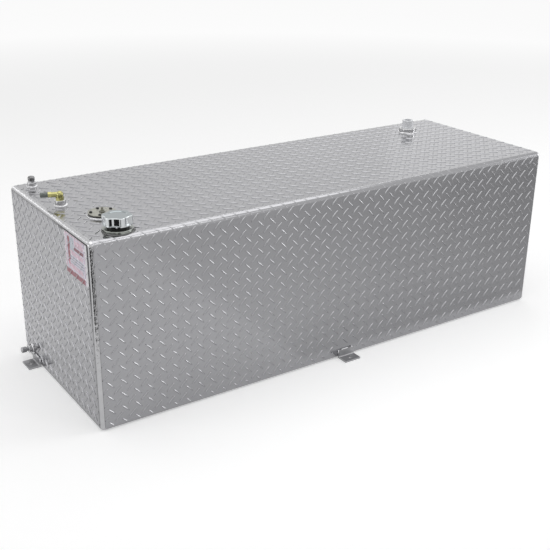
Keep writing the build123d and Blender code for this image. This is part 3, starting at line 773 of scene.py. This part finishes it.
def soft_light(name, place, aim, width, depth, power):
    """An area light at a place, turned towards a point."""
    light = bpy.data.lights.new(name, "AREA")
    light.shape = "RECTANGLE"
    light.size = width
    light.size_y = depth
    light.energy = power
    lamp = bpy.data.objects.new(name, light)
    bpy.context.scene.collection.objects.link(lamp)
    lamp.location = place
    way = [a - p for a, p in zip(aim, place)]
    lamp.rotation_euler = Vector(way).to_track_quat("-Z", "Y").to_euler()


soft_light("overhead", (-0.1, 0.0, 2.5), (-0.1, 0, 0), 3.4, 2.4, 34)
soft_light("strip", (1.7, 2.5, 2.45), (0.0, -0.25, 0.48), 2.8, 0.2, 5.5)
soft_light("back_right", (3.4, 2.3, 1.55), (0.5, -0.2, 0.48), 1.6, 1.0, 0.7)
soft_light("front", (0.4, -2.8, 1.95), (0, 0, 0.2), 2.2, 0.7, 4)
soft_light("glint", (0.78, -2.35, 2.62), (-0.6, -0.25, 0.48), 0.65, 0.25, 3.2)
soft_light("low_right", (3.5, -1.7, 0.78), (-0.5, -0.25, 0.25), 1.2, 1.0, 19)
soft_light("side", (3.9, -1.3, 1.5), (0, -0.25, 0.3), 2.0, 1.8, 19)
soft_light("left", (-3.5, 0.4, 1.25), (-0.7, 0, 0.25), 1.6, 0.6, 4.5)
soft_light("low_left", (-3.8, 1.0, 0.72), (-0.7, 0, 0.25), 1.4, 0.9, 14)
soft_light("back", (-1.5, 2.7, 1.4), (-0.7, 0, 0.5), 1.6, 0.3, 2.5)


def mat(name, corners, colour, far_colour=None):
    """A mat on the floor that only mirror-like surfaces see. It may fade to a second colour along X."""
    bpy.ops.mesh.primitive_plane_add(size=1, location=(0, 0, 0))
    piece = bpy.context.object
    piece.name = name
    for vert, (x, y) in zip(piece.data.vertices, corners):
        vert.co = (x, y, cad_low.z + 0.001)
    paint, tree, shader = flat_paint(name, colour)
    if far_colour:
        along = ramp(tree, point_axes(tree)[0], (corners[0][0], corners[1][0]), (0.0, 1.0))
        fade = tree.nodes.new("ShaderNodeMix")
        fade.data_type = "RGBA"
        fade.inputs["A"].default_value = colour + (1,)
        fade.inputs["B"].default_value = far_colour + (1,)
        tree.links.new(along, fade.inputs["Factor"])
        tree.links.new(fade.outputs["Result"], shader.inputs["Base Color"])
        tree.links.new(fade.outputs["Result"], shader.inputs["Emission Color"])
        tree.links.new(shown_white(tree, (0.0, 0.25)), shader.inputs["Emission Strength"])
    piece.data.materials.append(paint)
    piece.visible_camera = False
    piece.visible_shadow = False
    piece.visible_diffuse = False


def fan(first, last, near, far):
    """A wedge of floor seen from the tank's left front corner, between two headings in degrees."""
    corners = []
    for reach in (near, far):
        for heading in (math.radians(first), math.radians(last)):
            corners.append((end_low.x + reach * math.cos(heading), wrap_low.y + reach * math.sin(heading)))
    return corners


dark = (0.03, 0.03, 0.03)
mat("left_dark_mat", fan(195, 232, 0.55, 1.9), dark)
mat("front_dark_mat", fan(245, 268, 0.55, 1.9), dark)
mat("right_grey_mat", [(-0.1, -1.6), (2.4, -1.6), (-0.1, -0.3), (2.4, -0.3)], (0.9, 0.9, 0.9),
    far_colour=(0.35, 0.35, 0.35))

# The camera, at the place and with the view of the photograph.
# Its lens is a touch longer than a fit to sharp corners gives, because the tank's edges are rounded.
camera = bpy.data.cameras.new("camera")
camera.lens = 61.1
camera.shift_x = -0.0008
camera.sensor_width = 36
camera.clip_start = 0.05
camera.clip_end = 60
view = bpy.data.objects.new("camera", camera)
bpy.context.scene.collection.objects.link(view)
right = Vector((0.83058, -0.55680, 0.01032))
down = Vector((-0.20627, -0.32480, -0.92301))
forward = Vector((0.51729, 0.76451, -0.38463))
turn = Matrix((right, -down, -forward)).transposed().to_4x4()
camera_place = Vector((-1.45428, -2.06436, 1.20818))
view.matrix_world = Matrix.Translation(camera_place) @ turn
bpy.context.scene.camera = view
bpy.context.scene.view_settings.view_transform = "Standard"
